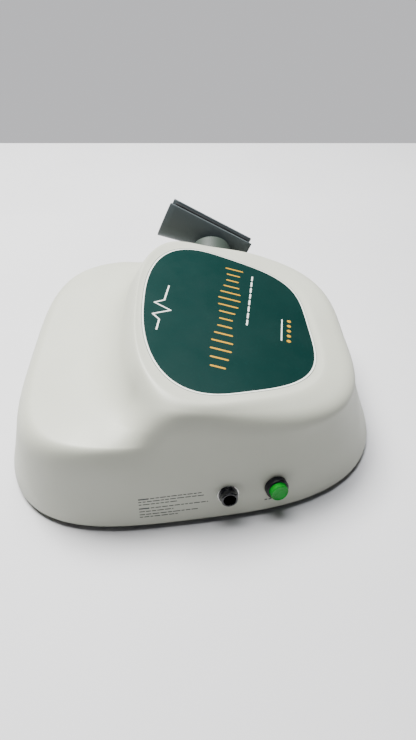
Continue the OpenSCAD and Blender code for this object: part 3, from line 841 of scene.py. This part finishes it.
build_label()
build_motif()

# ---------------------------------------------------------------- button and socket

CAP_R, CAP_TOP, CAP_LOW = 7.7, 9.8, 3.4
BEZEL_R, BEZEL_H, BEZEL_BEVEL = 9.8, 5.5, 0.8
# The bezel's threaded barrel, the bore in it and the way for the plunger through its floor
BARREL_R, BARREL_L, BARREL_FLOOR, BORE_R, STEM_R = 8.0, 16.0, 2.0, 6.2, 3.06
SOCKET_R, SOCKET_H, BARREL_END, WASHER_TOP = 8.3, 7.5, -12, 0.5
# The socket's thread, its mouth and the narrower bore behind it
THREAD_R, MOUTH_R, REAR_BORE_R, MOUTH_END = 7.0, 5.4, 5.0, -6


def build_button():
    """The bezel with its barrel, and the cap with a raised rim."""
    low, floor = -BARREL_L, BARREL_FLOOR - BARREL_L
    outline = [(BARREL_R, 0), (BARREL_R, BEZEL_H), (BEZEL_R - BEZEL_BEVEL, BEZEL_H),
               (BEZEL_R, BEZEL_H - BEZEL_BEVEL), (BEZEL_R, -SEAT_DEPTH), (BARREL_R, -SEAT_DEPTH),
               (BARREL_R, low), (STEM_R, low), (STEM_R, floor), (BORE_R, floor), (BORE_R, 0)]
    round_by = [0, 0.3, 0.5, 0.5, 0.25, 0, 0.3, 0, 0, 0, 0]
    bezel = lathe("bezel", outline, "black_plastic", BUTTON, round_by)
    own(bezel, "base", "black_plastic", "button_bezel")
    top = CAP_TOP
    outline = [(0, top - 0.5), (CAP_R - 1.9, top - 0.5), (CAP_R - 1.2, top), (CAP_R - 0.7, top),
               (CAP_R, top - 0.7), (CAP_R, CAP_LOW), (4.5, CAP_LOW), (4.5, 6), (0, 6)]
    round_by = [0, 0.4, 0.25, 0.25, 0.4, 0.2, 0, 0, 0]
    own(lathe("cap", outline, "green_lens", BUTTON, round_by), "button", "green_lens", "button_cap")


def build_socket():
    """The round socket with its flange, and the washer that shows round it."""
    h, flange_top = SOCKET_H, 1.8
    outline = [(REAR_BORE_R, BARREL_END), (REAR_BORE_R, MOUTH_END), (MOUTH_R, MOUTH_END), (MOUTH_R, h),
               (THREAD_R - 0.6, h), (THREAD_R, h - 0.6), (THREAD_R, flange_top), (SOCKET_R, flange_top),
               (SOCKET_R, WASHER_TOP), (THREAD_R, WASHER_TOP), (THREAD_R, BARREL_END)]
    round_by = [0, 0, 0, 0.35, 0.4, 0.3, 0.3, 0.45, 0.2, 0, 0]
    socket = lathe("socket", outline, "socket_black", SOCKET, round_by)
    own(socket, "base", "socket_black", "socket_shell")
    inner, seated, rim = THREAD_R + 0.02, SOCKET_R + 0.3, SOCKET_R + 1
    outline = [(inner, -SEAT_DEPTH), (seated, -SEAT_DEPTH), (seated, 0.1), (rim, 0.1),
               (rim, WASHER_TOP), (inner, WASHER_TOP)]
    washer = lathe("socket_washer", outline, "nickel_plate", SOCKET, [0, 0.1, 0, 0.05, 0.25, 0.1])
    own(washer, "base", "nickel_plate", "socket_ring")


build_button()
build_socket()

# ---------------------------------------------------------------- hub and cradle

HUB_R, HUB_L, HUB_WALL, HUB_ROOT = 23.5, 21.5, 3, -14
# The pivot bolt, its sleeve in the hub and its head's counterbore
BOLT_R, SLEEVE_R, HEAD_R = 4.0, 9, 7.2
SWIVEL_Z = HUB_L + 0.4
HEAD_Z = SWIVEL_Z + 5.6
CRADLE_L, WALL_C, LINER_T = 104.0, 3.0, 1.8
# Half width and depth of the cradle at its rear and at its front end
REAR_SIZE, FRONT_SIZE = (20, 44), (18, 22.5)
SECTION_POWER = 2.4


def build_hub():
    """A hollow boss with a sleeve for the bolt, trimmed to the housing's wall."""
    floor, side = HUB_L - 3.5, HUB_R - HUB_WALL
    outline = [(BOLT_R + 0.2, HUB_ROOT), (SLEEVE_R, HUB_ROOT), (SLEEVE_R, floor), (side, floor),
               (side, HUB_ROOT), (HUB_R, HUB_ROOT), (HUB_R, HUB_L - 2), (HUB_R - 0.6, HUB_L - 0.6),
               (HUB_R - 2, HUB_L), (BOLT_R + 0.2, HUB_L)]
    round_by = [0, 0, 0.5, 0.5, 0, 0, 1.0, 0.7, 1.0, 0.4]
    # The hub is drawn in painted shade, darker than the white housing plastic it is made of.
    hub = lathe("hub", outline, "hub_painted_shade", HUB, round_by, 128)
    cut(hub, skin(0, 168, 6))
    own(smooth(hub, 32), "base", "housing_plastic", "holder_hub")


def section(w, d, drop, count=40):
    """Half a superellipse, from one side of the mouth under the bottom to the other."""
    e = 2 / SECTION_POWER
    angles = [math.pi + math.pi * k / count for k in range(count + 1)]
    return [(w * signed_pow(math.cos(a), e), min(-drop, d * signed_pow(math.sin(a), e))) for a in angles]


def size_at(y, inset):
    """Half width and depth of the cradle's section at y."""
    s = 0.5 - y / CRADLE_L
    return [rear + (front - rear) * s - inset for rear, front in zip(REAR_SIZE, FRONT_SIZE)]


def channel_loop(y, inset, t, drop, shrink):
    """The section of a channel with walls t thick, and how much each of its corners is rounded."""
    w, d = size_at(y, inset)
    outer = section(w - shrink, d - shrink, drop + shrink)
    inner = section(w - t + shrink, d - t + shrink, drop + shrink)
    loop, count = outer + inner[::-1], len(outer)
    radii = [0.0] * len(loop)
    for rim in (0, count - 1, count, 2 * count - 1):
        radii[rim] = t / 3
    return [(x, y, z) for x, z in loop], radii


def rounded_loop(loop, radii):
    """The loop with its four rim corners rounded."""
    flat = [(x, z) for x, _, z in loop]
    out = []
    n = len(flat)
    for i, p in enumerate(flat):
        if radii[i] == 0:
            out.append(p)
            continue
        p = Vector(p)
        a, b = Vector(flat[i - 1]) - p, Vector(flat[(i + 1) % n]) - p
        start = p + a.normalized() * min(radii[i], a.length * 0.6)
        end = p + b.normalized() * min(radii[i], b.length * 0.6)
        for k in range(5):
            u = k / 4
            out.append(tuple(start * (1 - u) ** 2 + p * 2 * u * (1 - u) + end * u * u))
    y = loop[0][1]
    return [(x, y, z) for x, z in out]


def channel(name, length, inset, t, drop, material):
    """A channel along Y with rounded rims and rounded ends."""
    half, edge, spans = length / 2, t * 0.3, 12
    # Places along Y, and how much the section shrinks there
    stations = [(half, edge), (half - edge * 0.3, edge * 0.3), (half - edge, 0)]
    stations += [(half * (1 - 2 * k / spans), 0) for k in range(1, spans)]
    stations += [(-half + edge, 0), (-half + edge * 0.3, edge * 0.3), (-half, edge)]
    points = []
    for y, shrink in stations:
        ring = rounded_loop(*channel_loop(y, inset, t, drop, shrink))
        points += ring
    cols = len(ring)
    faces = grid_faces(len(stations), cols)
    for base in (0, (len(stations) - 1) * cols):
        for k in range(cols // 2 - 1):
            faces.append((base + k, base + k + 1, base + cols - 2 - k, base + cols - 1 - k))
    return add_mesh(name, points, faces, material, CRADLE)


def channel_core(length, inset):
    """The space inside a channel."""
    points, count = [], 0
    for y in (length / 2, -length / 2):
        ring = section(*size_at(y, inset), 0)
        count = len(ring)
        points += [(x, y, z) for x, z in ring]
    faces = grid_faces(2, count) + [tuple(range(count)), tuple(reversed(range(count, 2 * count)))]
    return add_mesh("cutter", points, faces, "cradle_grey", CRADLE)


def bolt_way():
    """The hole for the pivot bolt and the counterbore over its head."""
    return post(BOLT_R + 0.06, SWIVEL_Z - 1, SWIVEL_Z + 29, HUB), post(HEAD_R, HEAD_Z, HEAD_Z + 30, HUB)


def build_cradle():
    """The cradle on its cone, and the liner in it."""
    cradle = channel("cradle", CRADLE_L, 0, WALL_C, 0, "cradle_grey")
    cone = lathe("cone", [(0, SWIVEL_Z), (19, SWIVEL_Z), (12, SWIVEL_Z + 13), (0, SWIVEL_Z + 13)],
                 "cradle_grey", HUB, [0, 1.2, 0, 0])
    cut(cone, channel_core(CRADLE_L + 20, WALL_C - 0.5))
    weld(cradle, cone)
    cut(cradle, *bolt_way())
    own(smooth(cradle, 38), "holder", "cradle_grey", "probe_cradle")
    liner = channel("liner", CRADLE_L - 8, WALL_C + 0.15, LINER_T, 3, "liner_black")
    cut(liner, *bolt_way())
    own(smooth(liner, 38), "holder", "liner_black", "cradle_liner")


build_hub()
build_cradle()

# ---------------------------------------------------------------- base plate, feet and inlet

PLATE_Z, PLATE_INSET = 3.0, 2.2
FOOT_PAD_R, FOOT_STEM_R = 9, 3.45
FEET = {"foot_rear_left": (-105, 118), "foot_rear_right": (105, 118),
        "foot_front_left": (-98, -122), "foot_front_right": (98, -122)}


# Holes of the plate as radius and places: base screws, feet, transformer screws, board screws
PLATE_HOLES = [(2.3, BOSSES), (3.5, FEET.values()), (2.05, [(-91, 88), (-9, 88)]),
               (2.0, [(-35, -88), (65, -88), (-35, -12), (65, -12)])]
# Rows of cooling slots: where each starts, and the slots' width, length and pitch
SLOT_ROWS, SLOT_W, SLOT_L, SLOT_PITCH = (20, -150), 3, 30, 8


def build_base():
    """The plate with its holes and cooling slots, and the feet that are pressed into it."""
    outline = [ring_at(FOOT, a, PLATE_INSET) for a in even_angles(FOOT, 240)]
    plate = prism("plate", outline, PLATE_Z, BASE_Z, "base_black", upright(0, 0))
    for r, places in PLATE_HOLES:
        for x, y in places:
            cut(plate, post(r, 0, 10, upright(x, y), 32))
    for x in range(-60, 61, SLOT_PITCH):
        for y in SLOT_ROWS:
            low, high = (x - SLOT_W / 2, y, 0), (x + SLOT_W / 2, y + SLOT_L, 10)
            cut(plate, block("cutter", low, high, "base_black", upright(0, 0), 0))
    bevel(plate, 0.25, 2, 60)
    own(smooth(plate, 30), "base", "base_black", "base_plate")
    outline = [(0, 0), (FOOT_PAD_R - 1, 0), (FOOT_PAD_R, 1), (FOOT_PAD_R, PLATE_Z),
               (FOOT_STEM_R, PLATE_Z), (FOOT_STEM_R, BASE_Z), (0, BASE_Z)]
    round_by = [0, 0.5, 0.5, 0.2, 0, 0.2, 0]
    for node, (x, y) in FEET.items():
        foot = lathe("pad_" + node, outline, "foot_rubber", upright(x, y), round_by, 64)
        own(foot, "base", "foot_rubber", node)


def inlet_box(low, high, round_by=0.0, segments=2, name="cutter"):
    return block(name, low, high, "black_plastic", INLET, round_by, segments)


def build_inlet():
    """The inlet with its flange, socket, pin slots and screw holes, and the fuse drawer beside it."""
    body = inlet_box((-26.5, 0.01, -12.5), (26.5, 2.41, 12.5), 0.5, 3, "inlet")
    weld(body, inlet_box((-22, -24, -10.5), (22, 0.5, 10.5)))
    socket = inlet_box((-20.5, -17, -8.5), (4.5, 13, 8.5))
    drawer_way = inlet_box((8, -23, -8.5), (20.5, 17, 8.5))
    cut(body, socket, drawer_way)
    for x, z in ((-15, 1.8), (-1, 1.8), (-8, -3.6)):
        cut(body, inlet_box((x - 1, -30, z - 2), (x + 1, -14, z + 2)))
    for x in (-24.6, 24.6):
        spot = INLET @ Matrix.Translation((x, 0, 0)) @ Matrix.Rotation(math.radians(-90), 4, "X")
        cut(body, post(1.3, -5, 5, spot, 32))
    bevel(body, 0.15, 2, 50)
    own(smooth(body, 32), "base", "black_plastic", "inlet_body")
    drawer = inlet_box((8.35, -20, -8.15), (20.15, 2.9, 8.15), 0.2, 2, "drawer")
    front = inlet_box((7.2, 2.72, -9.3), (21.3, 4.32, 9.3), 0.35)
    thumb_lip = inlet_box((12, 4.1, -9.3), (16.5, 5.7, -6.3), 0.25)
    weld(drawer, front, thumb_lip)
    cut(drawer, inlet_box((10, -19, -5), (18.5, 1.4, 15)))
    own(smooth(drawer, 32), "drawer", "black_plastic", "fuse_drawer")


build_base()
build_inlet()

# ---------------------------------------------------------------- lights and floor


def area_light(name, spot, target, size, power, color):
    """A soft rectangular lamp. Places and size are in metres."""
    data = bpy.data.lights.new(name, "AREA")
    data.shape = "RECTANGLE"
    data.size, data.size_y = size
    data.energy = power
    data.color = color
    obj = bpy.data.objects.new(name, data)
    bpy.context.scene.collection.objects.link(obj)
    obj.location = spot
    aim = Vector(target) - Vector(spot)
    obj.rotation_euler = aim.to_track_quat("-Z", "Y").to_euler()


def make_stage():
    """The floor, whose far edge lies square to the camera's view."""
    forward = Vector((math.cos(math.radians(HEADING)), -math.sin(math.radians(HEADING)), 0))
    side = Vector((-forward.y, forward.x, 0))
    eye = (EYE - BOX_MID) * MM
    eye.z = 0
    far, near, wide = 1.19, -2.5, 3.0
    reach = ((near, -wide), (far, -wide), (far, wide), (near, wide))
    corners = [eye + forward * f + side * s for f, s in reach]
    mesh = bpy.data.meshes.new("floor")
    mesh.from_pydata([tuple(c) for c in corners], [], [(0, 1, 2, 3)])
    floor = bpy.data.objects.new("floor", mesh)
    bpy.context.scene.collection.objects.link(floor)
    n = Nodes("floor_pale")
    tone = n.ramp(n.noise(3, 3), 0.3, 0.7, srgb(204, 204, 206), srgb(211, 211, 213))
    n.set(Roughness=0.7)
    mesh.materials.append(n.finish(tone, None, n.bump(n.noise(300, 2), 0.05, 0.0001)))


def make_world(high, low, strength):
    """Dim studio above the horizon, and the pale room that is seen past the floor's far edge."""
    world = bpy.data.worlds.new("studio")
    bpy.context.scene.world = world
    world.use_nodes = True
    tree = world.node_tree
    where = tree.nodes.new("ShaderNodeTexCoord")
    split = tree.nodes.new("ShaderNodeSeparateXYZ")
    blend = tree.nodes.new("ShaderNodeMapRange")
    blend.inputs["From Min"].default_value = -0.1
    blend.inputs["From Max"].default_value = -0.04
    tone = tree.nodes.new("ShaderNodeMix")
    tone.data_type = "RGBA"
    tone.inputs[6].default_value = low
    tone.inputs[7].default_value = dim(high, strength)
    tree.links.new(where.outputs["Generated"], split.inputs[0])
    tree.links.new(split.outputs["Z"], blend.inputs["Value"])
    tree.links.new(blend.outputs["Result"], tone.inputs[0])
    tree.links.new(tone.outputs[2], tree.nodes["Background"].inputs["Color"])


make_stage()
make_world(srgb(225, 228, 235), srgb(212, 212, 215), 0.08)
area_light("key", (0.55, 0.6, 1.75), (0, 0, 0.05), (0.9, 0.7), 92, (1.0, 0.99, 0.96))
area_light("top", (0.55, 0.1, 2.0), (0, 0, 0), (1.1, 1.1), 68, (0.97, 0.98, 1.0))
